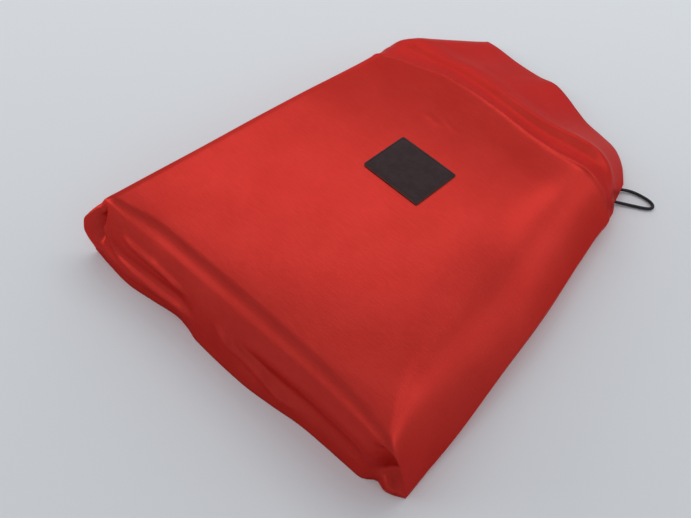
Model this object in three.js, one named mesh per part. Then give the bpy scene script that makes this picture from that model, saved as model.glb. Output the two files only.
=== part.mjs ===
import * as THREE from 'three';
import { mergeVertices } from 'three/addons/utils/BufferGeometryUtils.js';

// A filled drawstring bag lying on its back panel. Millimetres, +Z up. X runs across the bag, +Y runs
// from the boxed bottom end to the folded mouth, and the origin is on the table under the middle.

// Sizes of the filled part
const FRONT_WIDTH = 330;
const RIDGE_WIDTH = 256;
const FILLED_LENGTH = 300;
const FILLED_HEIGHT = 61;
const CROWN = 5;
const WALL_LEAN = 20;
const WALL_BULGE = 4;
const ROLL_DROP = 7;
const ROLL_WIDTH = 14;

// Sizes of the empty mouth, which slopes to the table past the filling
const MOUTH_LENGTH = 126;
const MOUTH_EDGE_WIDTH = 213;
const MOUTH_EDGE_HEIGHT = 9;
const SECOND_RIDGE_DISTANCE = 45;
const SECOND_RIDGE_HEIGHT = 49;
const VALLEY_DEPTH = 7;

// Side seams and the two corners of the bottom end
const LEFT_SEAM_HEIGHT = 46;
const RIGHT_SEAM_HEIGHT = 21;
const LEFT_SHOULDER = 15;
const RIGHT_SHOULDER = 110;
const RIGHT_FULLNESS = 3;
const SIDE_BULGE = 3;
const UNDERCUT = 3;
const EAR_REACH = 13.7;
const EAR_THICKNESS = 5;
const EAR_RECESS = 9;
const EAR_DIRECTION = [0.92, 0.38];
const TIP_HEIGHT = 6;
const TIP_HOLLOW = 13;

// How far the seams, ridges and edges wander from their straight lines, and the depth of a fold
const SEAM_WANDER = 10;
const RIDGE_WANDER = 10;
const MOUTH_SWEEP = 70;
const FOOT_SWEEP = 20;
const FOLD_DEPTH = 5;

// Leather patch
const PATCH_WIDTH = 61;
const PATCH_LENGTH = 46.5;
const PATCH_THICKNESS = 1.2;
const PATCH_TURN = THREE.MathUtils.degToRad(-2.5);
const PATCH_FROM_RIDGE = 111;
const PATCH_SIDE = 3;
const PATCH_GAP = 0.3;
const PATCH_COLUMNS = 8;
const PATCH_ROWS = 6;

// Drawcord, out of the folded mouth and back into it
const CORD_DIAMETER = 2.8;
const CORD_SIDES = 8;
const CORD_STEPS = 14;
const CORD_ROUTE = [
  [116.5, 151.4, 2.8],
  [121.2, 155.2, 2.1],
  [124.9, 157.2, 1.7],
  [129.0, 158.4, 1.5],
  [133.4, 158.9, 1.5],
  [137.6, 159.1, 1.5],
  [141.8, 158.9, 1.5],
  [145.5, 157.9, 1.5],
  [148.2, 155.8, 1.5],
  [148.6, 152.7, 1.5],
  [146.4, 149.9, 1.5],
  [142.0, 147.2, 1.5],
  [136.8, 144.5, 1.5],
  [131.5, 141.7, 1.6],
  [121.4, 135.5, 2.5],
];

// Grid of the cloth surface
const COLUMNS = 37;
const ROWS = 42;
const LEFT_COLUMNS = 5;
const RIGHT_COLUMNS = 8;
const RIDGE_ROW = 26;
const VALLEY_ROW = 29;
const SECOND_RIDGE_ROW = 32;
const WALL_LEVELS = [0, 0.09, 0.2, 0.32, 0.44, 0.56, 0.66, 0.75, 0.82, 0.89, 1];

// Places along the length, worked out from the sizes
const TOTAL_LENGTH = WALL_LEAN + FILLED_LENGTH + MOUTH_LENGTH;
const FRONT_FOOT = -TOTAL_LENGTH / 2;
const FRONT_RIDGE = FRONT_FOOT + WALL_LEAN;
const FAR_RIDGE = FRONT_RIDGE + FILLED_LENGTH;
const SECOND_RIDGE = FAR_RIDGE + SECOND_RIDGE_DISTANCE;
const MOUTH_EDGE = FAR_RIDGE + MOUTH_LENGTH;

const { lerp, clamp, smoothstep } = THREE.MathUtils;
const bump = (distance, spread) => Math.exp(-((distance / spread) ** 2));

// Smooth value at t through [t, value] pairs that are sorted by t
function flow(pairs, t) {
  const last = pairs.length - 1;
  let i = 0;
  while (i < last - 1 && t > pairs[i + 1][0]) {
    i += 1;
  }
  const slope = (k) => {
    const before = pairs[Math.max(k - 1, 0)];
    const after = pairs[Math.min(k + 1, last)];
    return (after[1] - before[1]) / (after[0] - before[0]);
  };
  const [t0, v0] = pairs[i];
  const [t1, v1] = pairs[i + 1];
  const span = t1 - t0;
  const s = clamp((t - t0) / span, 0, 1);
  const s2 = s * s;
  const s3 = s2 * s;
  return (2 * s3 - 3 * s2 + 1) * v0 + (s3 - 2 * s2 + s) * span * slope(i)
    + (3 * s2 - 2 * s3) * v1 + (s3 - s2) * span * slope(i + 1);
}

// Lengthwise parameter of a row: 0 at the front ridge, 1 at the far ridge, then 2, 3 and 4 at the
// valley, the second ridge and the mouth's edge. Rows crowd together at both ridges.
function rowPlace(row) {
  if (row <= RIDGE_ROW) {
    const s = row / RIDGE_ROW;
    return s - 0.45 * Math.sin(2 * Math.PI * s) / (2 * Math.PI);
  }
  if (row <= VALLEY_ROW) {
    return 1 + (row - RIDGE_ROW) / (VALLEY_ROW - RIDGE_ROW);
  }
  if (row <= SECOND_RIDGE_ROW) {
    return 2 + (row - VALLEY_ROW) / (SECOND_RIDGE_ROW - VALLEY_ROW);
  }
  return 3 + (row - SECOND_RIDGE_ROW) / (ROWS - SECOND_RIDGE_ROW);
}

// Share of the width at a column. Columns crowd together on both shoulders.
function columnShare(column) {
  const left = LEFT_SHOULDER / FRONT_WIDTH;
  const right = RIGHT_SHOULDER / FRONT_WIDTH;
  const fromRight = COLUMNS - column;
  if (column < LEFT_COLUMNS) {
    return left * (1 - Math.cos((Math.PI / 2) * (column / LEFT_COLUMNS)));
  }
  if (fromRight < RIGHT_COLUMNS) {
    return 1 - right * (1 - Math.cos((Math.PI / 2) * (fromRight / RIGHT_COLUMNS)));
  }
  return lerp(left, 1 - right, (column - LEFT_COLUMNS) / (COLUMNS - LEFT_COLUMNS - RIGHT_COLUMNS));
}

// Seams on the two long sides, seen from above
const LEFT_SEAM = [
  [0, -FRONT_WIDTH / 2 + SEAM_WANDER * 0.5], [0.5, -FRONT_WIDTH / 2 + SEAM_WANDER * 1.9],
  [1, -RIDGE_WIDTH / 2 - SEAM_WANDER * 0.4], [2, -RIDGE_WIDTH / 2 - SEAM_WANDER],
  [3, -RIDGE_WIDTH / 2 - SEAM_WANDER * 1.2], [3.55, -RIDGE_WIDTH / 2 + SEAM_WANDER * 0.8],
  [4, -MOUTH_EDGE_WIDTH / 2 + SEAM_WANDER * 0.7],
];
const RIGHT_SEAM = [
  [0, FRONT_WIDTH / 2 + SEAM_WANDER * 0.9], [0.2, FRONT_WIDTH / 2 + SEAM_WANDER * 0.55],
  [0.42, FRONT_WIDTH / 2 - SEAM_WANDER * 0.3], [0.62, FRONT_WIDTH / 2 - SEAM_WANDER * 1.1],
  [0.86, RIDGE_WIDTH / 2 + SEAM_WANDER * 1.25], [1, RIDGE_WIDTH / 2 + SEAM_WANDER * 0.65],
  [2, RIDGE_WIDTH / 2 + SEAM_WANDER * 0.3], [3, RIDGE_WIDTH / 2 - SEAM_WANDER * 0.3],
  [4, MOUTH_EDGE_WIDTH / 2 + SEAM_WANDER],
];

// Lines across the bag, as the share of the width and the distance from the line's own place in
// shares of RIDGE_WANDER, MOUTH_SWEEP or FOOT_SWEEP
const FRONT_RIDGE_LINE = [
  [0, -0.25], [0.1, -0.2], [0.22, 0.05], [0.5, 0.2], [0.7, 0.25], [0.85, 0.1], [0.94, -0.1], [1, 0.2],
];
const FAR_RIDGE_LINE = [
  [0, -1.6], [0.05, -1.35], [0.11, -0.7], [0.19, -0.15], [0.28, 0.45], [0.4, 0.5], [0.51, 0.3], [0.6, 0],
  [0.68, -0.3], [0.8, -0.4], [0.88, 0], [1, 0.4],
];
const SECOND_RIDGE_LINE = [
  [0, -0.7], [0.2, -0.8], [0.3, -0.5], [0.42, -0.75], [0.5, -1], [0.6, -1.3], [0.7, -1.35], [0.8, -1.1],
  [0.91, -1.2], [1, -1.8],
];
const MOUTH_EDGE_LINE = [
  [0, 0.051], [0.07, 0.029], [0.2, -0.036], [0.34, -0.057], [0.42, -0.029], [0.5, -0.114], [0.6, -0.271],
  [0.68, -0.386], [0.77, -0.457], [0.86, -0.543], [0.94, -0.743], [1, -0.986],
];
const FRONT_FOOT_LINE = [
  [0, -0.05], [0.05, -0.125], [0.14, -0.175], [0.22, 0.025], [0.3, 0.25], [0.345, 0.2], [0.39, 0.06],
  [0.55, 0.06], [0.64, 0.225], [0.72, 0.425], [0.8, 0.49], [0.87, 0.52], [0.905, 0.57], [0.93, 0.875],
  [0.955, 0.78], [0.975, 0.875], [1, 1.1],
];

// Height of the cloth along the middle, and of the seams and shoulders along the sides
const MIDDLE_HEIGHT = [
  [0, FILLED_HEIGHT + CROWN * 0.2], [0.08, FILLED_HEIGHT + CROWN * 0.4], [0.3, FILLED_HEIGHT + CROWN * 0.6],
  [0.65, FILLED_HEIGHT + CROWN], [0.85, FILLED_HEIGHT + CROWN * 0.8], [1, FILLED_HEIGHT + CROWN * 0.2],
  [2, FILLED_HEIGHT - VALLEY_DEPTH],
  [3, SECOND_RIDGE_HEIGHT], [3.3, SECOND_RIDGE_HEIGHT * 0.77], [3.9, MOUTH_EDGE_HEIGHT * 1.5],
  [4, MOUTH_EDGE_HEIGHT],
];
const LEFT_SEAM_LIFT = [
  [0, LEFT_SEAM_HEIGHT * 1.1], [0.3, LEFT_SEAM_HEIGHT], [1, LEFT_SEAM_HEIGHT],
  [3, LEFT_SEAM_HEIGHT * 0.6], [4, MOUTH_EDGE_HEIGHT * 0.9],
];
const RIGHT_SEAM_LIFT = [
  [0, TIP_HEIGHT], [0.16, TIP_HEIGHT * 1.3], [0.35, RIGHT_SEAM_HEIGHT * 0.8], [0.6, RIGHT_SEAM_HEIGHT],
  [1, RIGHT_SEAM_HEIGHT * 0.8], [3, MOUTH_EDGE_HEIGHT * 1.35], [4, MOUTH_EDGE_HEIGHT * 0.9],
];
const LEFT_SHOULDER_WIDTH = [
  [0, LEFT_SHOULDER], [1, LEFT_SHOULDER], [3, LEFT_SHOULDER * 1.7], [4, LEFT_SHOULDER],
];
const RIGHT_SHOULDER_WIDTH = [
  [0, RIGHT_SHOULDER * 0.2], [0.2, RIGHT_SHOULDER * 0.6], [0.45, RIGHT_SHOULDER * 0.78],
  [0.7, RIGHT_SHOULDER * 0.7], [1, RIGHT_SHOULDER * 0.5], [3, RIGHT_SHOULDER * 0.45],
  [4, RIGHT_SHOULDER * 0.36],
];

// Share of the soft roll between the top and the end wall, along the width
const ROLL_SHARE = [
  [0, 0.1], [0.06, 0.4], [0.15, 0.9], [0.3, 1], [0.6, 1], [0.8, 0.8], [0.9, 0.5], [1, 0.1],
];

// Folds of the end wall. Each runs from one share of the width to another, climbs from one level of
// the wall to another, and pushes the cloth out by a share of FOLD_DEPTH, or in where push is below zero.
const WALL_FOLDS = [
  { from: 0.12, to: 0.95, low: 0.88, high: 0.89, push: -0.35, spread: 0.07 },
  { from: 0.1, to: 0.34, low: 0.76, high: 0.66, push: 0.4, spread: 0.05 },
  { from: 0.0, to: 0.38, low: 0.22, high: 0.32, push: 0.64, spread: 0.08 },
  { from: 0.04, to: 0.36, low: 0.48, high: 0.46, push: -0.2, spread: 0.09 },
  { from: 0.44, to: 0.7, low: 0.62, high: 0.22, push: 0.68, spread: 0.08 },
  { from: 0.5, to: 0.94, low: 0.56, high: 0.46, push: -1, spread: 0.15 },
];

// Rise from the left seam to the middle height, as a quarter round
function leftRound(distance, width) {
  const s = clamp(distance / width, 0, 1);
  return Math.sqrt(1 - (1 - s) ** 2);
}

// Rise from the right seam to the middle height, as a long slope that flattens out
function rightSlope(distance, width) {
  const s = clamp(distance / width, 0, 1);
  return 1 - (1 - s) ** RIGHT_FULLNESS;
}

// Y of the cloth on top at a share of the width and a lengthwise place
function lengthwise(share, place) {
  const front = FRONT_RIDGE + RIDGE_WANDER * flow(FRONT_RIDGE_LINE, share);
  const far = FAR_RIDGE + RIDGE_WANDER * flow(FAR_RIDGE_LINE, share);
  const second = SECOND_RIDGE + RIDGE_WANDER * flow(SECOND_RIDGE_LINE, share);
  const edge = MOUTH_EDGE + MOUTH_SWEEP * flow(MOUTH_EDGE_LINE, share);
  const valley = (far + second) / 2;
  if (place <= 1) {
    return lerp(front, far, place);
  }
  if (place <= 2) {
    return lerp(far, valley, place - 1);
  }
  if (place <= 3) {
    return lerp(valley, second, place - 2);
  }
  return lerp(second, edge, place - 3);
}

// How far the top cloth drops where it rolls over into the end wall
function rollDrop(share, fromFront) {
  const roll = flow(ROLL_SHARE, share);
  const width = ROLL_WIDTH * (0.3 + 0.7 * roll);
  return ROLL_DROP * roll * (1 - clamp(fromFront / width, 0, 1)) ** 2.2;
}

// Point of the top cloth
function topPoint(share, place) {
  const left = flow(LEFT_SEAM, place);
  const right = flow(RIGHT_SEAM, place);
  const x = lerp(left, right, share);
  const y = lengthwise(share, place);
  const arch = CROWN * 0.35 * (Math.sin(Math.PI * share) - 0.6) * smoothstep(place, 0, 0.3);
  const crowned = flow(MIDDLE_HEIGHT, place) + arch * (1 - smoothstep(place, 0.8, 1.2));
  const middle = crowned - rollDrop(share, y - lengthwise(share, 0));
  const leftRise = leftRound(x - left, flow(LEFT_SHOULDER_WIDTH, place));
  const rightRise = rightSlope(right - x, flow(RIGHT_SHOULDER_WIDTH, place));
  const leftDrop = (middle - flow(LEFT_SEAM_LIFT, place)) * (1 - leftRise);
  const rightDrop = (middle - flow(RIGHT_SEAM_LIFT, place)) * (1 - rightRise);
  return new THREE.Vector3(x, y, middle - leftDrop - rightDrop);
}

// Point of the back panel, which lies flat on the table
function floorPoint(share, place) {
  const along = place / 4;
  const left = flow(LEFT_SEAM, place) + UNDERCUT * (along - 0.8);
  const right = flow(RIGHT_SEAM, place) - UNDERCUT * smoothstep(place, 0, 0.2);
  const front = FRONT_FOOT + FOOT_SWEEP * flow(FRONT_FOOT_LINE, share);
  const far = lengthwise(share, 4) - UNDERCUT;
  const near = lengthwise(share, 0);
  const reach = (lengthwise(share, place) - near) / (lengthwise(share, 4) - near);
  return new THREE.Vector3(lerp(left, right, share), lerp(front, far, reach), 0);
}

// How far the end wall stands out from a straight slope, at a share of the width and a level
function wallPush(share, level) {
  let push = WALL_BULGE * Math.sin(Math.PI * level ** 1.6);
  for (const fold of WALL_FOLDS) {
    const along = (share - fold.from) / (fold.to - fold.from);
    const centre = lerp(fold.low, fold.high, clamp(along, 0, 1));
    const ends = smoothstep(along, -0.05, 0.2) * (1 - smoothstep(along, 0.8, 1.05));
    push += FOLD_DEPTH * fold.push * ends * bump(level - centre, fold.spread);
  }
  return push * (1 - smoothstep(share, 0.9, 0.97));
}

// Moves a wall point for the two corners of the bottom end: a folded ear on the left, and on the
// right a hollow behind the pressed tip
function shapeCorners(point, share, level, fromLeftCorner, fromRightCorner, onWall) {
  const earRise = smoothstep(level, -0.1, 0.45) * (1 - smoothstep(level, 0.6, 1.02));
  const ear = EAR_REACH * earRise * bump(fromLeftCorner, EAR_THICKNESS);
  point.x -= ear * EAR_DIRECTION[0];
  point.y -= ear * EAR_DIRECTION[1];
  if (onWall) {
    const recess = smoothstep(level, 0.25, 0.5) * (1 - smoothstep(level, 0.7, 0.95));
    point.y += EAR_RECESS * recess * bump(fromLeftCorner - EAR_THICKNESS * 1.7, EAR_THICKNESS * 0.55);
    const hollow = smoothstep(level, 0.08, 0.35) * (1 - smoothstep(level, 0.8, 0.98));
    point.y += TIP_HOLLOW * hollow * bump(fromRightCorner - TIP_HOLLOW, TIP_HOLLOW * 0.7);
  }
}

function surfacePoint(column, row, levelIndex) {
  const share = columnShare(column);
  const place = rowPlace(row);
  const level = WALL_LEVELS[levelIndex];
  const top = topPoint(share, place);
  if (level === 1) {
    return top;
  }
  const floor = floorPoint(share, place);
  if (level === 0) {
    return floor;
  }
  const point = floor.clone().lerp(top, level);
  const onWall = row === 0;
  const width = flow(RIGHT_SEAM, place) - flow(LEFT_SEAM, place);
  const fromFront = lengthwise(share, place) - lengthwise(share, 0);
  const fromLeft = share * width + fromFront;
  const fromRight = (1 - share) * width + fromFront;
  const side = column === 0 ? -1 : 1;
  const onSide = column === 0 || column === COLUMNS;
  point.y -= wallPush(share, level) * bump(fromFront, LEFT_SHOULDER);
  const fullness = column === 0 ? 1 : top.z / FILLED_HEIGHT;
  const sideReach = onSide ? fullness * (1 - bump(fromFront, LEFT_SHOULDER * 2)) : 0;
  point.x += side * SIDE_BULGE * Math.sin(Math.PI * level) * sideReach;
  shapeCorners(point, share, level, fromLeft, fromRight, onWall);
  return point;
}

function clothMaterial() {
  return new THREE.MeshStandardMaterial({ color: 0xb42a20, roughness: 0.45, metalness: 0 });
}

// The cloth bag with its filling: a box whose grid is drawn over the folds
function makeBag() {
  const levels = WALL_LEVELS.length - 1;
  const box = new THREE.BoxGeometry(COLUMNS, ROWS, levels, COLUMNS, ROWS, levels);
  box.deleteAttribute('normal');
  box.deleteAttribute('uv');
  box.translate(COLUMNS / 2, ROWS / 2, levels / 2);
  const geometry = mergeVertices(box, 0.01);
  const position = geometry.attributes.position;
  for (let i = 0; i < position.count; i += 1) {
    const column = Math.round(position.getX(i));
    const row = Math.round(position.getY(i));
    const levelIndex = Math.round(position.getZ(i));
    const point = surfacePoint(column, row, levelIndex);
    position.setXYZ(i, point.x, point.y, point.z);
  }
  geometry.computeVertexNormals();
  const mesh = new THREE.Mesh(geometry, clothMaterial());
  mesh.name = 'bag_body';
  return mesh;
}

// Height of the top cloth at a place in plan, found by halving towards it
function clothHeight(x, y) {
  let low = 0;
  let high = 1;
  let share = 0.5;
  for (let i = 0; i < 30; i += 1) {
    const place = (low + high) / 2;
    const left = flow(LEFT_SEAM, place);
    const right = flow(RIGHT_SEAM, place);
    share = clamp((x - left) / (right - left), 0, 1);
    if (lengthwise(share, place) < y) {
      low = place;
    } else {
      high = place;
    }
  }
  return topPoint(share, low).z;
}

// The leather patch, bent to lie on the cloth
function makePatch() {
  const sheet = new THREE.BoxGeometry(
    PATCH_WIDTH, PATCH_LENGTH, PATCH_THICKNESS, PATCH_COLUMNS, PATCH_ROWS, 1,
  );
  sheet.deleteAttribute('normal');
  sheet.deleteAttribute('uv');
  sheet.translate(0, 0, PATCH_THICKNESS / 2);
  sheet.rotateZ(PATCH_TURN);
  sheet.translate(PATCH_SIDE, FAR_RIDGE - PATCH_FROM_RIDGE, 0);
  const geometry = mergeVertices(sheet, 0.01);
  const position = geometry.attributes.position;
  for (let i = 0; i < position.count; i += 1) {
    const height = clothHeight(position.getX(i), position.getY(i));
    position.setZ(i, position.getZ(i) + height + PATCH_GAP);
  }
  geometry.computeVertexNormals();
  const leather = new THREE.MeshStandardMaterial({ color: 0x3e2c2e, roughness: 0.55, metalness: 0 });
  const mesh = new THREE.Mesh(geometry, leather);
  mesh.name = 'leather_patch';
  return mesh;
}

// The free loop of the drawcord
function makeCord() {
  const section = new THREE.Shape();
  const radius = CORD_DIAMETER / 2;
  section.absarc(0, 0, radius, 0, 2 * Math.PI, false);
  const route = new THREE.CatmullRomCurve3(CORD_ROUTE.map((point) => new THREE.Vector3(...point)));
  const tube = new THREE.ExtrudeGeometry(section, {
    steps: CORD_STEPS,
    curveSegments: CORD_SIDES / 2,
    bevelEnabled: false,
    extrudePath: route,
  });
  const cotton = new THREE.MeshStandardMaterial({ color: 0x17151a, roughness: 0.8, metalness: 0 });
  const mesh = new THREE.Mesh(tube, cotton);
  mesh.name = 'drawcord';
  return mesh;
}

const bag = new THREE.Group();
bag.add(makeBag(), makePatch(), makeCord());

export default bag;
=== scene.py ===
import math

import bmesh
import bpy
import numpy as np
from mathutils import Matrix, Vector


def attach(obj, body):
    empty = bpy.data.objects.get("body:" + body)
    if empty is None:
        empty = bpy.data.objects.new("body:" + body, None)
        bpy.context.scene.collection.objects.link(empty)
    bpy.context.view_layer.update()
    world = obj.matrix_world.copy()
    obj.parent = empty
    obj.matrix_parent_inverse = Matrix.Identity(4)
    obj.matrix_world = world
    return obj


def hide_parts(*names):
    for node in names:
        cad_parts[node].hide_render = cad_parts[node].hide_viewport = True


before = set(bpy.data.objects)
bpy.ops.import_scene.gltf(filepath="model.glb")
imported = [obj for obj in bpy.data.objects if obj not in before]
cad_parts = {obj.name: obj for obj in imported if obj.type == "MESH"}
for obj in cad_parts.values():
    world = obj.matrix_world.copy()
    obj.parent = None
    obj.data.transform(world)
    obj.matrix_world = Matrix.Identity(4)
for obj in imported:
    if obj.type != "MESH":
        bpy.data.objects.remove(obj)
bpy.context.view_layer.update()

bl_info = {
    "name": "Satin Drawstring Bag",
    "version": (1, 0, 0),
    "blender": (4, 5, 0),
    "location": "View3D > Sidebar > Satin Bag",
    "description": "Dresses a filled satin drawstring bag, its leather label and its cord loop",
    "category": "Add Mesh",
}

MM = 0.001
BODY = "root"

# Camera of the main view
CAMERA_PLACE = (0.30875, -0.39600, 0.57250)
CAMERA_AIM = (-0.43338, 0.43580, -0.78884)
CAMERA_FOCAL_MM = 44.28
CAMERA_SENSOR_MM = 36.0

# Table top, in metres: half its side, and its gap under the bag, so that the two faces don't meet
TABLE_HALF = 4.0
TABLE_GAP = 0.0002

# Lamps, in metres: name, place, target, direction of the long side, length and width, and power setting
LAMPS = (
    ("window", (-0.8, 0.53, 1.2), (0.0, -0.05, 0.05), (0.88, 0.47, 0.0), (1.15, 0.3), "window_power"),
    ("far_wall", (-1.2, 1.8, 0.62), (0.0, 0.0, 0.05), (0.83, 0.55, 0.0), (3.6, 0.8), "far_power"),
    ("second_window", (0.15, 0.98, 1.2), (0.1, 0.0, 0.05), (0.98, 0.2, 0.0), (0.8, 0.3), "second_power"),
    ("right_wall", (1.2, 1.6, 0.8), (0.1, 0.0, 0.05), (0.8, -0.6, 0.0), (1.8, 1.2), "right_power"),
    ("left_wall", (-1.85, -1.15, 0.6), (0.0, -0.1, 0.05), (0.53, -0.85, 0.0), (2.0, 1.0), "left_power"),
)

# Sizes of the filled part, in millimetres, as the solid bag has them
FRONT_WIDTH = 330
RIDGE_WIDTH = 256
FILLED_LENGTH = 300
FILLED_HEIGHT = 61
CROWN = 5
WALL_LEAN = 20
WALL_BULGE = 4
ROLL_DROP = 7
ROLL_WIDTH = 14

# Sizes of the empty mouth, which slopes to the table past the filling
MOUTH_LENGTH = 126
MOUTH_EDGE_WIDTH = 213
MOUTH_EDGE_HEIGHT = 9
SECOND_RIDGE_DISTANCE = 45
SECOND_RIDGE_HEIGHT = 49
VALLEY_DEPTH = 7

# Side seams and the two corners of the bottom end
LEFT_SEAM_HEIGHT = 46
RIGHT_SEAM_HEIGHT = 21
LEFT_SHOULDER = 15
RIGHT_SHOULDER = 110
RIGHT_FULLNESS = 3
SIDE_BULGE = 3
UNDERCUT = 3
EAR_REACH = 13.7
EAR_THICKNESS = 5
EAR_RECESS = 9
EAR_DIRECTION = (0.92, 0.38)
TIP_HEIGHT = 6
TIP_HOLLOW = 13

# How far the seams, ridges and edges wander from their straight lines, and the depth of a fold
SEAM_WANDER = 10
RIDGE_WANDER = 10
MOUTH_SWEEP = 70
FOOT_SWEEP = 20
FOLD_DEPTH = 5

# Label, in millimetres, with its turn in radians and how often its face and its corners are divided
LABEL_WIDTH = 61
LABEL_LENGTH = 46.5
LABEL_THICKNESS = 1.2
LABEL_TURN = math.radians(-2.5)
LABEL_FROM_RIDGE = 111
LABEL_SIDE = 3
LABEL_GAP = 0.3
LABEL_CUTS = (40, 30)
CORNER_SEGMENTS = 5
BORDER_FROM_EDGE = 1.8
BORDER_SPREAD = 0.45
BORDER_REACH = 0.6

# Route of the cord's free loop, in metres, from one end under the folded mouth to the other
CORD_ROUTE = [
    (0.1132, 0.1488, 0.0034), (0.1165, 0.1514, 0.0028), (0.1212, 0.1552, 0.0021), (0.1249, 0.1572, 0.0017),
    (0.1290, 0.1584, 0.0015), (0.1334, 0.1589, 0.0015), (0.1376, 0.1591, 0.0015), (0.1418, 0.1589, 0.0015),
    (0.1455, 0.1579, 0.0015), (0.1482, 0.1558, 0.0015), (0.1486, 0.1527, 0.0015), (0.1464, 0.1499, 0.0015),
    (0.1420, 0.1472, 0.0015), (0.1368, 0.1445, 0.0015), (0.1315, 0.1417, 0.0016), (0.1214, 0.1355, 0.0025),
    (0.1179, 0.1334, 0.0030),
]

# Roughness of the noise in every material
NOISE_ROUGHNESS = 0.55

# Grid of the cloth: the solid's own rows, columns and levels, how much the rows crowd at the two ridges of
# the filled part, and how often each step is divided here
COLUMNS = 37
ROWS = 42
LEFT_COLUMNS = 5
RIGHT_COLUMNS = 8
RIDGE_ROW = 26
VALLEY_ROW = 29
SECOND_RIDGE_ROW = 32
ROW_CROWDING = 0.45
WALL_LEVELS = (0, 0.09, 0.2, 0.32, 0.44, 0.56, 0.66, 0.75, 0.82, 0.89, 1)
FINE = ((4, 5, 4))

# Places along the length, worked out from the sizes
TOTAL_LENGTH = WALL_LEAN + FILLED_LENGTH + MOUTH_LENGTH
FRONT_FOOT = -TOTAL_LENGTH / 2
FRONT_RIDGE = FRONT_FOOT + WALL_LEAN
FAR_RIDGE = FRONT_RIDGE + FILLED_LENGTH
SECOND_RIDGE = FAR_RIDGE + SECOND_RIDGE_DISTANCE
MOUTH_EDGE = FAR_RIDGE + MOUTH_LENGTH

# Seams on the two long sides, seen from above, as lengthwise place and X
LEFT_SEAM = (
    (0, -FRONT_WIDTH / 2 + SEAM_WANDER * 0.5), (0.5, -FRONT_WIDTH / 2 + SEAM_WANDER * 1.9),
    (1, -RIDGE_WIDTH / 2 - SEAM_WANDER * 0.4), (2, -RIDGE_WIDTH / 2 - SEAM_WANDER),
    (3, -RIDGE_WIDTH / 2 - SEAM_WANDER * 1.2), (3.55, -RIDGE_WIDTH / 2 + SEAM_WANDER * 0.8),
    (4, -MOUTH_EDGE_WIDTH / 2 + SEAM_WANDER * 0.7),
)
RIGHT_SEAM = (
    (0, FRONT_WIDTH / 2 + SEAM_WANDER * 0.9), (0.2, FRONT_WIDTH / 2 + SEAM_WANDER * 0.55),
    (0.42, FRONT_WIDTH / 2 - SEAM_WANDER * 0.3), (0.62, FRONT_WIDTH / 2 - SEAM_WANDER * 1.1),
    (0.86, RIDGE_WIDTH / 2 + SEAM_WANDER * 1.25), (1, RIDGE_WIDTH / 2 + SEAM_WANDER * 0.65),
    (2, RIDGE_WIDTH / 2 + SEAM_WANDER * 0.3), (3, RIDGE_WIDTH / 2 - SEAM_WANDER * 0.3),
    (4, MOUTH_EDGE_WIDTH / 2 + SEAM_WANDER),
)

# Lines across the bag: share of the width, and distance from the line's own place, in wanders or sweeps
FRONT_RIDGE_LINE = (
    (0, -0.25), (0.1, -0.2), (0.22, 0.05), (0.5, 0.2), (0.7, 0.25), (0.85, 0.1), (0.94, -0.1), (1, 0.2),
)
FAR_RIDGE_LINE = (
    (0, -1.6), (0.05, -1.35), (0.11, -0.7), (0.19, -0.15), (0.28, 0.45), (0.4, 0.5), (0.51, 0.3), (0.6, 0),
    (0.68, -0.3), (0.8, -0.4), (0.88, 0), (1, 0.4),
)
SECOND_RIDGE_LINE = (
    (0, -0.7), (0.2, -0.8), (0.3, -0.5), (0.42, -0.75), (0.5, -1), (0.6, -1.3), (0.7, -1.35), (0.8, -1.1),
    (0.91, -1.2), (1, -1.8),
)
MOUTH_EDGE_LINE = (
    (0, 0.051), (0.07, 0.029), (0.2, -0.036), (0.34, -0.057), (0.42, -0.029), (0.5, -0.114), (0.6, -0.271),
    (0.68, -0.386), (0.77, -0.457), (0.86, -0.543), (0.94, -0.743), (1, -0.986),
)
FRONT_FOOT_LINE = (
    (0, -0.05), (0.05, -0.125), (0.14, -0.175), (0.22, 0.025), (0.3, 0.25), (0.345, 0.2), (0.39, 0.06),
    (0.55, 0.06), (0.64, 0.225), (0.72, 0.425), (0.8, 0.49), (0.87, 0.52), (0.905, 0.57), (0.93, 0.875),
    (0.955, 0.78), (0.975, 0.875), (1, 1.1),
)

# Heights along the middle and the seams, and widths of the shoulders, along the length
MIDDLE_HEIGHT = (
    (0, FILLED_HEIGHT + CROWN * 0.2), (0.08, FILLED_HEIGHT + CROWN * 0.4),
    (0.3, FILLED_HEIGHT + CROWN * 0.6), (0.65, FILLED_HEIGHT + CROWN), (0.85, FILLED_HEIGHT + CROWN * 0.8),
    (1, FILLED_HEIGHT + CROWN * 0.2), (2, FILLED_HEIGHT - VALLEY_DEPTH), (3, SECOND_RIDGE_HEIGHT),
    (3.3, SECOND_RIDGE_HEIGHT * 0.77), (3.9, MOUTH_EDGE_HEIGHT * 1.5), (4, MOUTH_EDGE_HEIGHT),
)
LEFT_SEAM_LIFT = (
    (0, LEFT_SEAM_HEIGHT * 1.1), (0.3, LEFT_SEAM_HEIGHT), (1, LEFT_SEAM_HEIGHT),
    (3, LEFT_SEAM_HEIGHT * 0.6), (4, MOUTH_EDGE_HEIGHT * 0.9),
)
RIGHT_SEAM_LIFT = (
    (0, TIP_HEIGHT), (0.16, TIP_HEIGHT * 1.3), (0.35, RIGHT_SEAM_HEIGHT * 0.8), (0.6, RIGHT_SEAM_HEIGHT),
    (1, RIGHT_SEAM_HEIGHT * 0.8), (3, MOUTH_EDGE_HEIGHT * 1.35), (4, MOUTH_EDGE_HEIGHT * 0.9),
)
LEFT_SHOULDER_WIDTH = (
    (0, LEFT_SHOULDER), (1, LEFT_SHOULDER), (3, LEFT_SHOULDER * 1.7), (4, LEFT_SHOULDER),
)
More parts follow.
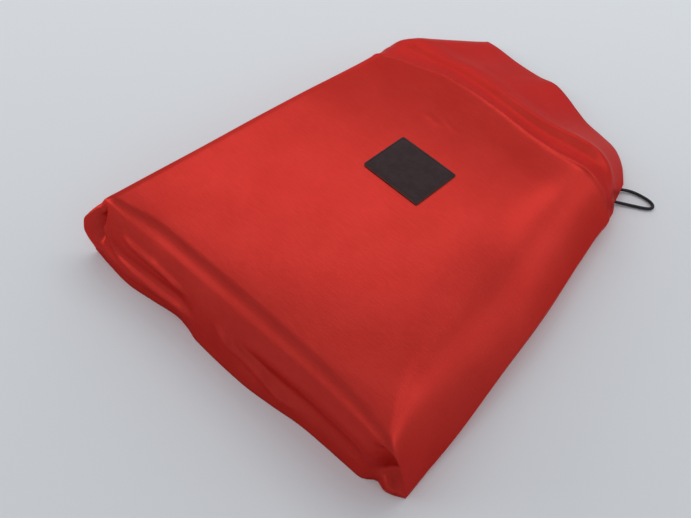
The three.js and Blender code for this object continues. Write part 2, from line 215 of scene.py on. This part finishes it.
RIGHT_SHOULDER_WIDTH = (
    (0, RIGHT_SHOULDER * 0.2), (0.2, RIGHT_SHOULDER * 0.6), (0.45, RIGHT_SHOULDER * 0.78),
    (0.7, RIGHT_SHOULDER * 0.7), (1, RIGHT_SHOULDER * 0.5), (3, RIGHT_SHOULDER * 0.45),
    (4, RIGHT_SHOULDER * 0.36),
)

# Share of the soft roll between the top and the end wall, along the width
ROLL_SHARE = (
    (0, 0.1), (0.06, 0.4), (0.15, 0.9), (0.3, 1), (0.6, 1), (0.8, 0.8), (0.9, 0.5), (1, 0.1),
)

# Folds of the end wall: from and to along the width, level at either end, push outwards as a share of
# FOLD_DEPTH, and spread
WALL_FOLDS = (
    (0.5, 0.95, 0.88, 0.89, -0.12, 0.07),
    (0.1, 0.34, 0.76, 0.66, 0.4, 0.05),
    (0.0, 0.38, 0.22, 0.32, 0.64, 0.08),
    (0.04, 0.36, 0.48, 0.46, -0.2, 0.09),
    (0.44, 0.7, 0.62, 0.22, 0.68, 0.08),
    (0.5, 0.94, 0.52, 0.42, -0.9, 0.19),
)

# Crisp creases laid over that shape: push outwards, spread, the share of the route over which the crease
# fades in at its start and out at its end, and the route itself, all in millimetres but the shares
CREASES = (
    # Long crease under the roll of the end wall
    (1.2, 1.2, 0.12, 0.2, (
        (-104, -202, 53), (-91, -203, 51), (-76, -204, 47), (-59, -204, 46), (-45, -204, 46),
        (-17, -203.5, 46.5), (9, -203, 47), (35, -202, 47.5), (61, -202, 47.5), (89, -203, 47),
        (104, -204, 47), (118, -203.5, 49),
    )),
    # Short crease below its left end
    (1.2, 1.8, 0.2, 0.4, (
        (-93, -209, 43), (-82, -211.5, 39.5), (-67, -212, 38), (-58, -212, 37), (-42, -211, 36),
    )),
    # Crease down the middle of the end wall
    (1.5, 2.2, 0.2, 0.3, (
        (1, -210.5, 38), (10, -212.5, 34), (18, -213, 30), (28, -212, 27), (36, -212.5, 25),
        (46, -214, 21), (55, -216, 18),
    )),
    # Crease from the left corner down and along the foot
    (1.7, 2.2, 0.03, 0.2, (
        (-156, -206, 52), (-153, -211, 43), (-146, -217, 35), (-139, -220, 25), (-127, -222, 20),
        (-110, -222, 19), (-97, -221, 18.5), (-87, -220, 17.5), (-66, -218.5, 15.5), (-48, -217.5, 15),
        (-28, -216, 19),
    )),
    # Two puckers beyond the label
    (0.35, 2.4, 0.3, 0.4, ((-38, 49, 66), (-26, 46, 66), (-10, 43, 66))),
    (0.3, 2.4, 0.3, 0.4, ((-26, 55, 66), (-10, 51, 66), (8, 46, 66))),
    # Crease on the right part of the folded mouth
    (0.6, 1.6, 0.2, 0.3, ((72, 138, 49), (85, 130, 49), (97, 122, 49), (106, 113, 49))),
    # Three creases round the hollow at the right tip
    (1.0, 1.6, 0.2, 0.3, (
        (129, -212, 9), (137, -210, 17), (143, -207, 25), (147, -204, 33), (152, -200, 41),
    )),
    (4.0, 2.6, 0.3, 0.1, ((155, -202, 16), (158, -203, 12), (161, -204, 8), (165, -203, 4))),
    (1.5, 1.8, 0.2, 0.2, ((155, -206, 4), (161, -205, 5), (167, -203, 5))),
    # Curled rim of the ear
    (1.4, 1.8, 0.2, 0.1, ((-167, -219, 38), (-164, -214, 44), (-159, -209, 50))),
)

# Crests of the two ridges across the far end: lengthwise place, push and spread at the left and right
CRESTS = ((1, 0.35, 1.6, 0.9, 3.2), (3, 0.7, 1.8, 2.2, 6.5))


def flow(pairs, t):
    """Smooth value at t through (t, value) pairs that are sorted by t."""
    places, values = np.array(pairs, float).T
    slopes = np.gradient(values, places)
    slopes[1:-1] = (values[2:] - values[:-2]) / (places[2:] - places[:-2])
    i = np.clip(np.searchsorted(places, t, side="left") - 1, 0, len(places) - 2)
    span = places[i + 1] - places[i]
    s = np.clip((t - places[i]) / span, 0, 1)
    start = (2 * s**3 - 3 * s**2 + 1) * values[i] + (s**3 - 2 * s**2 + s) * span * slopes[i]
    end = (3 * s**2 - 2 * s**3) * values[i + 1] + (s**3 - s**2) * span * slopes[i + 1]
    return start + end


def lerp(a, b, s):
    """Straight mix from a to b."""
    return a + (b - a) * s


def smoothstep(value, low, high):
    """Soft step from 0 at low to 1 at high."""
    s = np.clip((value - low) / (high - low), 0, 1)
    return s * s * (3 - 2 * s)


def bump(distance, spread):
    """Soft hump, 1 high in its middle."""
    return np.exp(-((distance / spread) ** 2))


def row_place(row):
    """Lengthwise place of a row: 0 front ridge, 1 far ridge, 2 valley, 3 second ridge, 4 mouth edge."""
    s = row / RIDGE_ROW
    filled = s - ROW_CROWDING * np.sin(2 * math.pi * s) / (2 * math.pi)
    slack = np.interp(row, (RIDGE_ROW, VALLEY_ROW, SECOND_RIDGE_ROW, ROWS), (1, 2, 3, 4))
    return np.where(row <= RIDGE_ROW, filled, slack)


def column_share(column):
    """Share of the width at a column. Columns crowd together on both shoulders."""
    left = LEFT_SHOULDER / FRONT_WIDTH
    right = RIGHT_SHOULDER / FRONT_WIDTH
    from_right = COLUMNS - column
    on_left = left * (1 - np.cos(math.pi / 2 * column / LEFT_COLUMNS))
    on_right = 1 - right * (1 - np.cos(math.pi / 2 * from_right / RIGHT_COLUMNS))
    middle = lerp(left, 1 - right, (column - LEFT_COLUMNS) / (COLUMNS - LEFT_COLUMNS - RIGHT_COLUMNS))
    return np.where(column < LEFT_COLUMNS, on_left, np.where(from_right < RIGHT_COLUMNS, on_right, middle))


def left_round(distance, width):
    """Rise from the left seam to the middle height, as a quarter round."""
    s = np.clip(distance / width, 0, 1)
    return np.sqrt(1 - (1 - s) ** 2)


def right_slope(distance, width):
    """Rise from the right seam to the middle height, as a long slope that flattens out."""
    s = np.clip(distance / width, 0, 1)
    return 1 - (1 - s) ** RIGHT_FULLNESS


def lengthwise(share, place):
    """Y of the cloth on top at a share of the width and a lengthwise place."""
    front = FRONT_RIDGE + RIDGE_WANDER * flow(FRONT_RIDGE_LINE, share)
    far = FAR_RIDGE + RIDGE_WANDER * flow(FAR_RIDGE_LINE, share)
    second = SECOND_RIDGE + RIDGE_WANDER * flow(SECOND_RIDGE_LINE, share)
    edge = MOUTH_EDGE + MOUTH_SWEEP * flow(MOUTH_EDGE_LINE, share)
    valley = (far + second) / 2
    lines = (front, far, valley, second, edge)
    y = lerp(front, far, np.clip(place, 0, 1))
    for i in range(1, 4):
        y = np.where(place > i, lerp(lines[i], lines[i + 1], place - i), y)
    return y


def roll_drop(share, from_front):
    """How far the top cloth drops where it rolls over into the end wall."""
    roll = flow(ROLL_SHARE, share)
    width = ROLL_WIDTH * (0.3 + 0.7 * roll)
    return ROLL_DROP * roll * (1 - np.clip(from_front / width, 0, 1)) ** 2.2


def top_point(share, place):
    """X, Y and Z of the top cloth."""
    left = flow(LEFT_SEAM, place)
    right = flow(RIGHT_SEAM, place)
    x = lerp(left, right, share)
    y = lengthwise(share, place)
    arch = CROWN * 0.35 * (np.sin(math.pi * share) - 0.6) * smoothstep(place, 0, 0.3)
    crowned = flow(MIDDLE_HEIGHT, place) + arch * (1 - smoothstep(place, 0.8, 1.2))
    middle = crowned - roll_drop(share, y - lengthwise(share, 0 * place))
    left_rise = left_round(x - left, flow(LEFT_SHOULDER_WIDTH, place))
    right_rise = right_slope(right - x, flow(RIGHT_SHOULDER_WIDTH, place))
    left_drop = (middle - flow(LEFT_SEAM_LIFT, place)) * (1 - left_rise)
    right_drop = (middle - flow(RIGHT_SEAM_LIFT, place)) * (1 - right_rise)
    return x, y, middle - left_drop - right_drop


def floor_point(share, place):
    """X and Y of the back panel, which lies flat on the table."""
    along = place / 4
    left = flow(LEFT_SEAM, place) + UNDERCUT * (along - 0.8)
    right = flow(RIGHT_SEAM, place) - UNDERCUT * smoothstep(place, 0, 0.2)
    front = FRONT_FOOT + FOOT_SWEEP * flow(FRONT_FOOT_LINE, share)
    near = lengthwise(share, 0 * place)
    far = lengthwise(share, 0 * place + 4)
    reach = (lengthwise(share, place) - near) / (far - near)
    return lerp(left, right, share), lerp(front, far - UNDERCUT, reach)


def wall_push(share, level):
    """How far the end wall stands out from a straight slope."""
    push = WALL_BULGE * np.sin(math.pi * level**1.6)
    for start, end, low, high, depth, spread in WALL_FOLDS:
        along = (share - start) / (end - start)
        centre = lerp(low, high, np.clip(along, 0, 1))
        ends = smoothstep(along, -0.05, 0.2) * (1 - smoothstep(along, 0.8, 1.05))
        push = push + FOLD_DEPTH * depth * ends * bump(level - centre, spread)
    return push * (1 - smoothstep(share, 0.9, 0.97))


def shape_cloth(column, row, level_index):
    """Places of the cloth's grid points, in millimetres."""
    share = column_share(column)
    place = row_place(row)
    level = np.interp(level_index, np.arange(len(WALL_LEVELS)), WALL_LEVELS)
    top_x, top_y, top_z = top_point(share, place)
    floor_x, floor_y = floor_point(share, place)
    x = lerp(floor_x, top_x, level)
    y = lerp(floor_y, top_y, level)
    z = top_z * level
    between = (level > 0) & (level < 1)
    width = flow(RIGHT_SEAM, place) - flow(LEFT_SEAM, place)
    from_front = top_y - lengthwise(share, 0 * place)
    from_left = share * width + from_front
    from_right = (1 - share) * width + from_front
    side = np.where(column == 0, -1, np.where(column == COLUMNS, 1, 0))
    fullness = np.where(column == 0, 1, top_z / FILLED_HEIGHT)
    side_reach = SIDE_BULGE * fullness * np.sin(math.pi * level) * (1 - bump(from_front, LEFT_SHOULDER * 2))
    x = x + between * side * side_reach
    y = y - between * wall_push(share, level) * bump(from_front, LEFT_SHOULDER)
    ear_rise = smoothstep(level, -0.1, 0.45) * (1 - smoothstep(level, 0.6, 1.02))
    ear = between * EAR_REACH * ear_rise * bump(from_left, EAR_THICKNESS)
    x = x - ear * EAR_DIRECTION[0]
    y = y - ear * EAR_DIRECTION[1]
    on_wall = between & (row == 0)
    recess = smoothstep(level, 0.25, 0.5) * (1 - smoothstep(level, 0.7, 0.95))
    hollow = smoothstep(level, 0.08, 0.35) * (1 - smoothstep(level, 0.8, 0.98))
    y = y + on_wall * EAR_RECESS * recess * bump(from_left - EAR_THICKNESS * 1.7, EAR_THICKNESS * 0.55)
    y = y + on_wall * TIP_HOLLOW * hollow * bump(from_right - TIP_HOLLOW, TIP_HOLLOW * 0.7)
    return np.stack((x, y, z), axis=1)


def cloth_height(x, y):
    """Height of the top cloth at places in plan, found by halving towards them."""
    low = np.zeros_like(x)
    high = np.ones_like(x)
    for _ in range(30):
        place = (low + high) / 2
        left = flow(LEFT_SEAM, place)
        right = flow(RIGHT_SEAM, place)
        share = np.clip((x - left) / (right - left), 0, 1)
        beyond = lengthwise(share, place) >= y
        low = np.where(beyond, low, place)
        high = np.where(beyond, place, high)
    return top_point(share, low)[2]


def distance_to_route(points, route):
    """Distance of each point from a route, and the share of the route at the nearest place."""
    best = np.full(len(points), np.inf)
    along = np.zeros(len(points))
    run = 0.0
    for start, end in zip(route[:-1], route[1:]):
        step = end - start
        length = np.linalg.norm(step)
        t = np.clip((points - start) @ step / length**2, 0, 1)
        distance = np.linalg.norm(points - start - t[:, None] * step, axis=1)
        nearer = distance < best
        best[nearer] = distance[nearer]
        along[nearer] = run + t[nearer] * length
        run += length
    return best, along / run


def crease_push(points, column, row, level_index, wave_height):
    """How far creases, crests and soft waves move each point along its normal, in millimetres."""
    push = np.zeros(len(points))
    for depth, spread, fade_in, fade_out, route in CREASES:
        distance, along = distance_to_route(points, np.array(route, float))
        ends = smoothstep(along, 0, fade_in) * (1 - smoothstep(along, 1 - fade_out, 1))
        push += depth * ends / (1 + (distance / spread) ** 2) ** 1.5
    share = column_share(column)
    place = row_place(row)
    on_top = level_index == len(WALL_LEVELS) - 1
    for at, left_push, left_spread, right_push, right_spread in CRESTS:
        mix = smoothstep(share, 0.25, 0.65)
        height = lerp(left_push, right_push, mix) * (1 - smoothstep(share, 0.93, 1))
        distance = (points[:, 1] - lengthwise(share, 0 * place + at)) / lerp(left_spread, right_spread, mix)
        push += on_top * height / (1 + distance**2) ** 1.5
    x, y = points[:, 0], points[:, 1]
    waves = np.sin(x / 31 + 1.3 * np.sin(y / 47)) * np.sin(y / 26 + 0.8) + 0.6 * np.sin(x / 17 + y / 39)
    return push + on_top * wave_height / MM * waves * smoothstep(row, 0, 3)


def mesh_object(name, mesh_builder, *slots):
    """New object from a finished bmesh, with its materials and smooth faces."""
    data = bpy.data.meshes.new(name)
    mesh_builder.to_mesh(data)
    mesh_builder.free()
    piece = bpy.data.objects.new(name, data)
    bpy.context.scene.collection.objects.link(piece)
    for material in slots:
        data.materials.append(material)
    for face in data.polygons:
        face.use_smooth = True
    return piece


class Nodes:
    """Short way to build a material's node tree."""

    def __init__(self, name):
        self.material = bpy.data.materials.new(name)
        self.material.use_nodes = True
        self.tree = self.material.node_tree
        self.shader = self.tree.nodes["Principled BSDF"]

    def add(self, kind, inputs=None, **settings):
        """New node with its settings and inputs."""
        node = self.tree.nodes.new(kind)
        for key, value in settings.items():
            setattr(node, key, value)
        for key, value in (inputs or {}).items():
            self.put(node, key, value)
        return node

    def put(self, node, key, value):
        """Sets an input, or links it where the value is another node's output."""
        if isinstance(value, bpy.types.NodeSocket):
            self.tree.links.new(value, node.inputs[key])
        else:
            node.inputs[key].default_value = value

    def ramp(self, source, stops):
        """Colour of a value between stops."""
        node = self.add("ShaderNodeValToRGB", {"Fac": source})
        elements = node.color_ramp.elements
        while len(elements) < len(stops):
            elements.new(0.5)
        for element, (position, colour) in zip(elements, stops):
            element.position = position
            element.color = colour
        return node.outputs["Color"]

    def noise(self, vector, scale, detail):
        """Soft noise in the object's own space."""
        inputs = {"Vector": vector, "Scale": scale, "Detail": detail, "Roughness": NOISE_ROUGHNESS}
        return self.add("ShaderNodeTexNoise", inputs).outputs["Fac"]

    def bump(self, height, distance, strength, normal=None):
        """Normal of a fine relief, laid over another one where that is given."""
        inputs = {"Height": height, "Distance": distance, "Strength": strength}
        if normal is not None:
            inputs["Normal"] = normal
        return self.add("ShaderNodeBump", inputs).outputs["Normal"]


def satin_material(colour):
    """Red polyester satin: a fine grain, faint slubs and a broad sheen."""
    n = Nodes("red_satin")
    place = n.add("ShaderNodeTexCoord").outputs["Object"]
    along = n.add("ShaderNodeMapping", {"Vector": place, "Scale": (0.12, 1.0, 1.0)}).outputs["Vector"]
    slubs = n.noise(along, 900.0, 3.0)
    mottle = n.noise(place, 26.0, 4.0)
    grain = n.noise(place, 700.0, 2.0)
    deep = (colour[0] * 0.96, colour[1] * 0.92, colour[2] * 0.92, 1)
    pale = (min(colour[0] * 1.04, 1), colour[1] * 1.1, colour[2] * 1.1, 1)
    base = n.ramp(mottle, ((0.3, deep), (0.7, pale)))
    streak = n.ramp(slubs, ((0.3, (0.9, 0.9, 0.9, 1)), (0.7, (1.0, 1.0, 1.0, 1))))
    tint = n.add("ShaderNodeMix", data_type="RGBA", blend_type="MULTIPLY")
    tint.inputs["Factor"].default_value = 1.0
    n.put(tint, 6, base)
    n.put(tint, 7, streak)
    n.put(n.shader, "Base Color", tint.outputs[2])
    rough = n.add("ShaderNodeMapRange", {"Value": grain, "To Min": 0.33, "To Max": 0.41})
    n.put(n.shader, "Roughness", rough.outputs["Result"])
    n.put(n.shader, "Metallic", 0.74)
    n.put(n.shader, "Specular IOR Level", 0.15)
    n.put(n.shader, "Specular Tint", (1.0, 0.25, 0.22, 1))
    n.put(n.shader, "Sheen Weight", 0.02)
    n.put(n.shader, "Sheen Roughness", 0.4)
    n.put(n.shader, "Sheen Tint", (1.0, 0.45, 0.3, 1))
    n.put(n.shader, "Anisotropic", 0.5)
    across = n.add("ShaderNodeCombineXYZ", {"X": 1.0, "Y": 0.0, "Z": 0.0}).outputs["Vector"]
    n.put(n.shader, "Tangent", across)
    slub_bump = n.bump(slubs, 0.00015, 0.3)
    n.put(n.shader, "Normal", n.bump(grain, 0.0002, 0.3, slub_bump))
    return n.material


def leather_material(name, colour, roughness):
    """Dark brown leather with a fine pebbled grain."""
    n = Nodes(name)
    place = n.add("ShaderNodeTexCoord").outputs["Object"]
    inputs = {"Vector": place, "Scale": 900.0}
    pebbles = n.add("ShaderNodeTexVoronoi", inputs, feature="SMOOTH_F1").outputs["Distance"]
    mottle = n.noise(place, 120.0, 4.0)
    dark = tuple(c * 0.8 for c in colour[:3]) + (1,)
    light = tuple(min(c * 1.25, 1) for c in colour[:3]) + (1,)
    n.put(n.shader, "Base Color", n.ramp(mottle, ((0.3, dark), (0.7, light))))
    n.put(n.shader, "Roughness", roughness)
    n.put(n.shader, "Specular IOR Level", 0.15)
    pebble_bump = n.bump(pebbles, 0.0003, 0.6)
    n.put(n.shader, "Normal", n.bump(mottle, 0.0004, 0.3, pebble_bump))
    return n.material


def cord_material(colour):
    """Near-black braided cord."""
    n = Nodes("black_braid")
    place = n.add("ShaderNodeTexCoord").outputs["Object"]
    strands = n.noise(place, 1500.0, 2.0)
    lift = tuple(min(c * 3 + 0.01, 1) for c in colour[:3]) + (1,)
    n.put(n.shader, "Base Color", n.ramp(strands, ((0.4, tuple(colour[:3]) + (1,)), (0.75, lift))))
    n.put(n.shader, "Roughness", 0.75)
    n.put(n.shader, "Normal", n.bump(strands, 0.0004, 0.8))
    return n.material


def floor_material(colour):
    """Plain pale table."""
    n = Nodes("pale_table")
    n.put(n.shader, "Base Color", colour)
    n.put(n.shader, "Roughness", 0.7)
    n.put(n.shader, "Specular IOR Level", 0.2)
    return n.material


class SatinBagSettings(bpy.types.PropertyGroup):
    satin_colour: bpy.props.FloatVectorProperty(
        name="Satin", description="Colour of the cloth", subtype="COLOR", size=3, min=0, max=1,
        default=(0.56, 0.036, 0.028),
    )
    wave_height: bpy.props.FloatProperty(
        name="Waves", description="Height of the soft waves in the filled top", subtype="DISTANCE",
        unit="LENGTH", default=0.0003, min=0, max=0.004,
    )


class LeatherLabelSettings(bpy.types.PropertyGroup):
    border_depth: bpy.props.FloatProperty(
        name="Border depth", description="Depth of the pressed line along the label's edge",
        subtype="DISTANCE", unit="LENGTH", default=0.00025, min=0, max=0.0006,
    )
    leather_colour: bpy.props.FloatVectorProperty(
        name="Leather", description="Colour of the label's face", subtype="COLOR", size=3, min=0, max=1,
        default=(0.035, 0.016, 0.018),
    )
    edge_colour: bpy.props.FloatVectorProperty(
        name="Cut edge", description="Colour of the label's raw edge", subtype="COLOR", size=3, min=0, max=1,
        default=(0.16, 0.10, 0.075),
    )
    corner_radius: bpy.props.FloatProperty(
        name="Corner", description="Radius of the label's corners", subtype="DISTANCE", unit="LENGTH",
        default=0.0015, min=0.0002, max=0.01,
    )


class DrawcordSettings(bpy.types.PropertyGroup):
    cord_colour: bpy.props.FloatVectorProperty(
        name="Cord", description="Colour of the braided cord", subtype="COLOR", size=3, min=0, max=1,
        default=(0.006, 0.006, 0.008),
    )
    diameter: bpy.props.FloatProperty(
        name="Diameter", description="Thickness of the cord", subtype="DISTANCE", unit="LENGTH",
        default=0.0028, min=0.001, max=0.008,
    )


class StageSettings(bpy.types.PropertyGroup):
    floor_colour: bpy.props.FloatVectorProperty(
        name="Table", description="Colour of the table top", subtype="COLOR", size=3, min=0, max=1,
        default=(0.86, 0.885, 0.91),
    )
    window_power: bpy.props.FloatProperty(
        name="Window", description="Power of the broad light behind the bag", subtype="POWER",
        unit="POWER", default=2.8, min=0, max=200,
    )
    far_power: bpy.props.FloatProperty(
        name="Far wall", description="Power of the wide light beyond the bag", subtype="POWER", unit="POWER",
        default=8.0, min=0, max=200,
    )
    second_power: bpy.props.FloatProperty(
        name="Second window", description="Power of the window light far right of the bag", subtype="POWER",
        unit="POWER", default=1.8, min=0, max=200,
    )
    right_power: bpy.props.FloatProperty(
        name="Right wall", description="Power of the wide light far right of the bag", subtype="POWER",
        unit="POWER", default=5.8, min=0, max=200,
    )
    left_power: bpy.props.FloatProperty(
        name="Left wall", description="Power of the wide light left of the bag", subtype="POWER",
        unit="POWER", default=11.5, min=0, max=200,
    )
    sky_strength: bpy.props.FloatProperty(
        name="Sky", description="Strength of the even light from all round", subtype="FACTOR",
        default=0.47, min=0, max=3,
    )


def strip_light(name, place, target, along, size, power):
    """Oblong soft lamp that faces a target, its long side along a direction."""
    lamp = bpy.data.lights.new(name, "AREA")
    lamp.shape = "RECTANGLE"
    lamp.energy = power
    lamp.size, lamp.size_y = size
    obj = bpy.data.objects.new(name, lamp)
    back = (Vector(place) - Vector(target)).normalized()
    side = (Vector(along) - back * back.dot(Vector(along))).normalized()
    turn = Matrix((side, back.cross(side), back)).transposed()
    obj.location = place
    obj.rotation_euler = turn.to_euler()
    bpy.context.scene.collection.objects.link(obj)


class SATINBAG_OT_stage(bpy.types.Operator):
    """Adds the camera, the table and the light"""

    bl_idname = "satinbag.stage"
    bl_label = "Stage"

    def execute(self, context):
        scene = context.scene
        settings = scene.satinbag_stage
        scene.view_settings.view_transform = "Standard"
        lens = bpy.data.cameras.new("camera")
        lens.sensor_width = CAMERA_SENSOR_MM
        lens.lens = CAMERA_FOCAL_MM
        camera = bpy.data.objects.new("camera", lens)
        camera.location = CAMERA_PLACE
        camera.rotation_euler = Vector(CAMERA_AIM).to_track_quat("-Z", "Y").to_euler()
        scene.collection.objects.link(camera)
        scene.camera = camera
        table = bmesh.new()
        bmesh.ops.create_grid(table, x_segments=1, y_segments=1, size=TABLE_HALF)
        bmesh.ops.translate(table, verts=table.verts, vec=(0, 0, -TABLE_GAP))
        floor = mesh_object("table_top", table, floor_material(tuple(settings.floor_colour) + (1,)))
        world = scene.world or bpy.data.worlds.new("world")
        scene.world = world
        world.use_nodes = True
        sky = world.node_tree.nodes["Background"]
        sky.inputs["Color"].default_value = (0.93, 0.96, 1.0, 1)
        sky.inputs["Strength"].default_value = settings.sky_strength
        for name, place, target, along, size, power in LAMPS:
            strip_light(name, place, target, along, size, getattr(settings, power))
        return {"FINISHED"}


class SATINBAG_OT_drawcord(bpy.types.Operator):
    """Adds the free loop of the drawcord"""

    bl_idname = "satinbag.drawcord"
    bl_label = "Drawcord"

    def execute(self, context):
        settings = context.scene.satinbag_cord
        curve = bpy.data.curves.new("drawcord_loop", "CURVE")
        curve.dimensions = "3D"
        curve.bevel_depth = settings.diameter / 2
        curve.bevel_resolution = 4
        curve.resolution_u = 8
        curve.use_fill_caps = True
        spline = curve.splines.new("NURBS")
        spline.points.add(len(CORD_ROUTE) - 1)
        for point, place in zip(spline.points, CORD_ROUTE):
            point.co = (*place, 1)
        spline.use_endpoint_u = True
        spline.order_u = 3
        loop = bpy.data.objects.new("drawcord_loop", curve)
        context.scene.collection.objects.link(loop)
        curve.materials.append(cord_material(settings.cord_colour))
        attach(loop, BODY)
        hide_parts("drawcord")
        return {"FINISHED"}


def cloth_grid():
    """A cube cut into the cloth's columns, rows and levels, each grid point at its own number."""
    grid = bmesh.new()
    bmesh.ops.create_cube(grid, size=1.0)
    counts = (COLUMNS, ROWS, len(WALL_LEVELS) - 1)
    for axis, count in enumerate(counts):
        edges = [e for e in grid.edges if abs(e.verts[0].co[axis] - e.verts[1].co[axis]) > 0.5]
        bmesh.ops.subdivide_edges(grid, edges=edges, cuts=count * FINE[axis] - 1, use_grid_fill=True)
    bmesh.ops.translate(grid, verts=grid.verts, vec=(0.5, 0.5, 0.5))
    bmesh.ops.scale(grid, verts=grid.verts, vec=counts)
    return grid


class SATINBAG_OT_bag(bpy.types.Operator):
    """Adds the filled satin bag"""

    bl_idname = "satinbag.bag"
    bl_label = "Satin bag"

    def execute(self, context):
        settings = context.scene.satinbag_bag
        grid = cloth_grid()
        steps = np.array([v.co for v in grid.verts], float)
        steps = np.round(steps * FINE) / FINE
        places = shape_cloth(steps[:, 0], steps[:, 1], steps[:, 2])
        for vert, place in zip(grid.verts, places * MM):
            vert.co = place
        grid.normal_update()
        normals = np.array([v.normal for v in grid.verts], float)
        push = crease_push(places, steps[:, 0], steps[:, 1], steps[:, 2], settings.wave_height)
        push = np.where(steps[:, 2] > 0, push, 0)
        for vert, place in zip(grid.verts, (places + normals * push[:, None]) * MM):
            vert.co = place
        colour = tuple(settings.satin_colour)
        bag = mesh_object("satin_bag", grid, satin_material(colour))
        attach(bag, BODY)
        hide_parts("bag_body")
        return {"FINISHED"}


def cut_across(slab, axis, distance):
    """Cuts a mesh through, square to an axis, at a distance from its centre."""
    at = Vector()
    at[axis] = distance
    normal = Vector()
    normal[axis] = 1.0
    geometry = slab.verts[:] + slab.edges[:] + slab.faces[:]
    bmesh.ops.bisect_plane(slab, geom=geometry, dist=1e-6, plane_co=at, plane_no=normal)


class SATINBAG_OT_label(bpy.types.Operator):
    """Adds the leather label"""

    bl_idname = "satinbag.label"
    bl_label = "Leather label"

    def execute(self, context):
        settings = context.scene.satinbag_label
        slab = bmesh.new()
        bmesh.ops.create_cube(slab, size=1.0)
        size = (LABEL_WIDTH * MM, LABEL_LENGTH * MM, LABEL_THICKNESS * MM)
        bmesh.ops.scale(slab, verts=slab.verts, vec=size)
        upright = [e for e in slab.edges if abs(e.verts[0].co.z - e.verts[1].co.z) > size[2] / 2]
        bmesh.ops.bevel(
            slab, geom=upright, offset=settings.corner_radius, offset_type="OFFSET",
            segments=CORNER_SEGMENTS, profile=0.5, affect="EDGES", material=-1,
        )
        for axis, cuts in enumerate(LABEL_CUTS):
            for i in range(1, cuts):
                cut_across(slab, axis, (i / cuts - 0.5) * size[axis])
            for reach in (-BORDER_REACH, 0, BORDER_REACH):
                from_middle = size[axis] / 2 - (BORDER_FROM_EDGE + reach) * MM
                cut_across(slab, axis, -from_middle)
                cut_across(slab, axis, from_middle)
        for vert in slab.verts:
            if vert.co.z > 0:
                from_edge = min(size[0] / 2 - abs(vert.co.x), size[1] / 2 - abs(vert.co.y)) / MM
                vert.co.z -= settings.border_depth * float(bump(from_edge - BORDER_FROM_EDGE, BORDER_SPREAD))
        turn = Matrix.Rotation(LABEL_TURN, 3, "Z")
        bmesh.ops.rotate(slab, verts=slab.verts, cent=(0, 0, 0), matrix=turn)
        centre = (LABEL_SIDE * MM, (FAR_RIDGE - LABEL_FROM_RIDGE) * MM, size[2] / 2 + LABEL_GAP * MM)
        bmesh.ops.translate(slab, verts=slab.verts, vec=centre)
        plan = np.array([v.co for v in slab.verts], float) / MM
        heights = cloth_height(plan[:, 0], plan[:, 1])
        for vert, height in zip(slab.verts, heights):
            vert.co.z += height * MM
        bmesh.ops.recalc_face_normals(slab, faces=slab.faces)
        for face in slab.faces:
            face.material_index = 1 if abs(face.normal.z) < 0.5 else 0
        label = mesh_object(
            "leather_label", slab, leather_material("brown_leather", settings.leather_colour, 0.5),
            leather_material("leather_edge", settings.edge_colour, 0.8),
        )
        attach(label, BODY)
        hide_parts("leather_patch")
        return {"FINISHED"}


class SATINBAG_PT_panel(bpy.types.Panel):
    """Sizes and colours of the satin bag"""

    bl_idname = "SATINBAG_PT_panel"
    bl_label = "Satin Bag"
    bl_space_type = "VIEW_3D"
    bl_region_type = "UI"
    bl_category = "Satin Bag"

    def draw(self, context):
        for group, operator in GROUPS:
            box = self.layout.box()
            settings = getattr(context.scene, group)
            for name in settings.__annotations__:
                box.prop(settings, name)
            box.operator(operator)


GROUPS = (
    ("satinbag_stage", "satinbag.stage"),
    ("satinbag_cord", "satinbag.drawcord"),
    ("satinbag_bag", "satinbag.bag"),
    ("satinbag_label", "satinbag.label"),
)
SETTINGS = {
    "satinbag_stage": StageSettings,
    "satinbag_cord": DrawcordSettings,
    "satinbag_bag": SatinBagSettings,
    "satinbag_label": LeatherLabelSettings,
}
CLASSES = (
    StageSettings, DrawcordSettings, SatinBagSettings, LeatherLabelSettings,
    SATINBAG_OT_stage, SATINBAG_OT_drawcord, SATINBAG_OT_bag, SATINBAG_OT_label, SATINBAG_PT_panel,
)


def register():
    for cls in CLASSES:
        bpy.utils.register_class(cls)
    for name, group in SETTINGS.items():
        setattr(bpy.types.Scene, name, bpy.props.PointerProperty(type=group))


def unregister():
    for name in SETTINGS:
        delattr(bpy.types.Scene, name)
    for cls in reversed(CLASSES):
        bpy.utils.unregister_class(cls)


def main():
    register()
    bpy.ops.satinbag.stage()
    bpy.ops.satinbag.drawcord()
    bpy.ops.satinbag.bag()
    bpy.ops.satinbag.label()


if __name__ == "__main__":
    main()
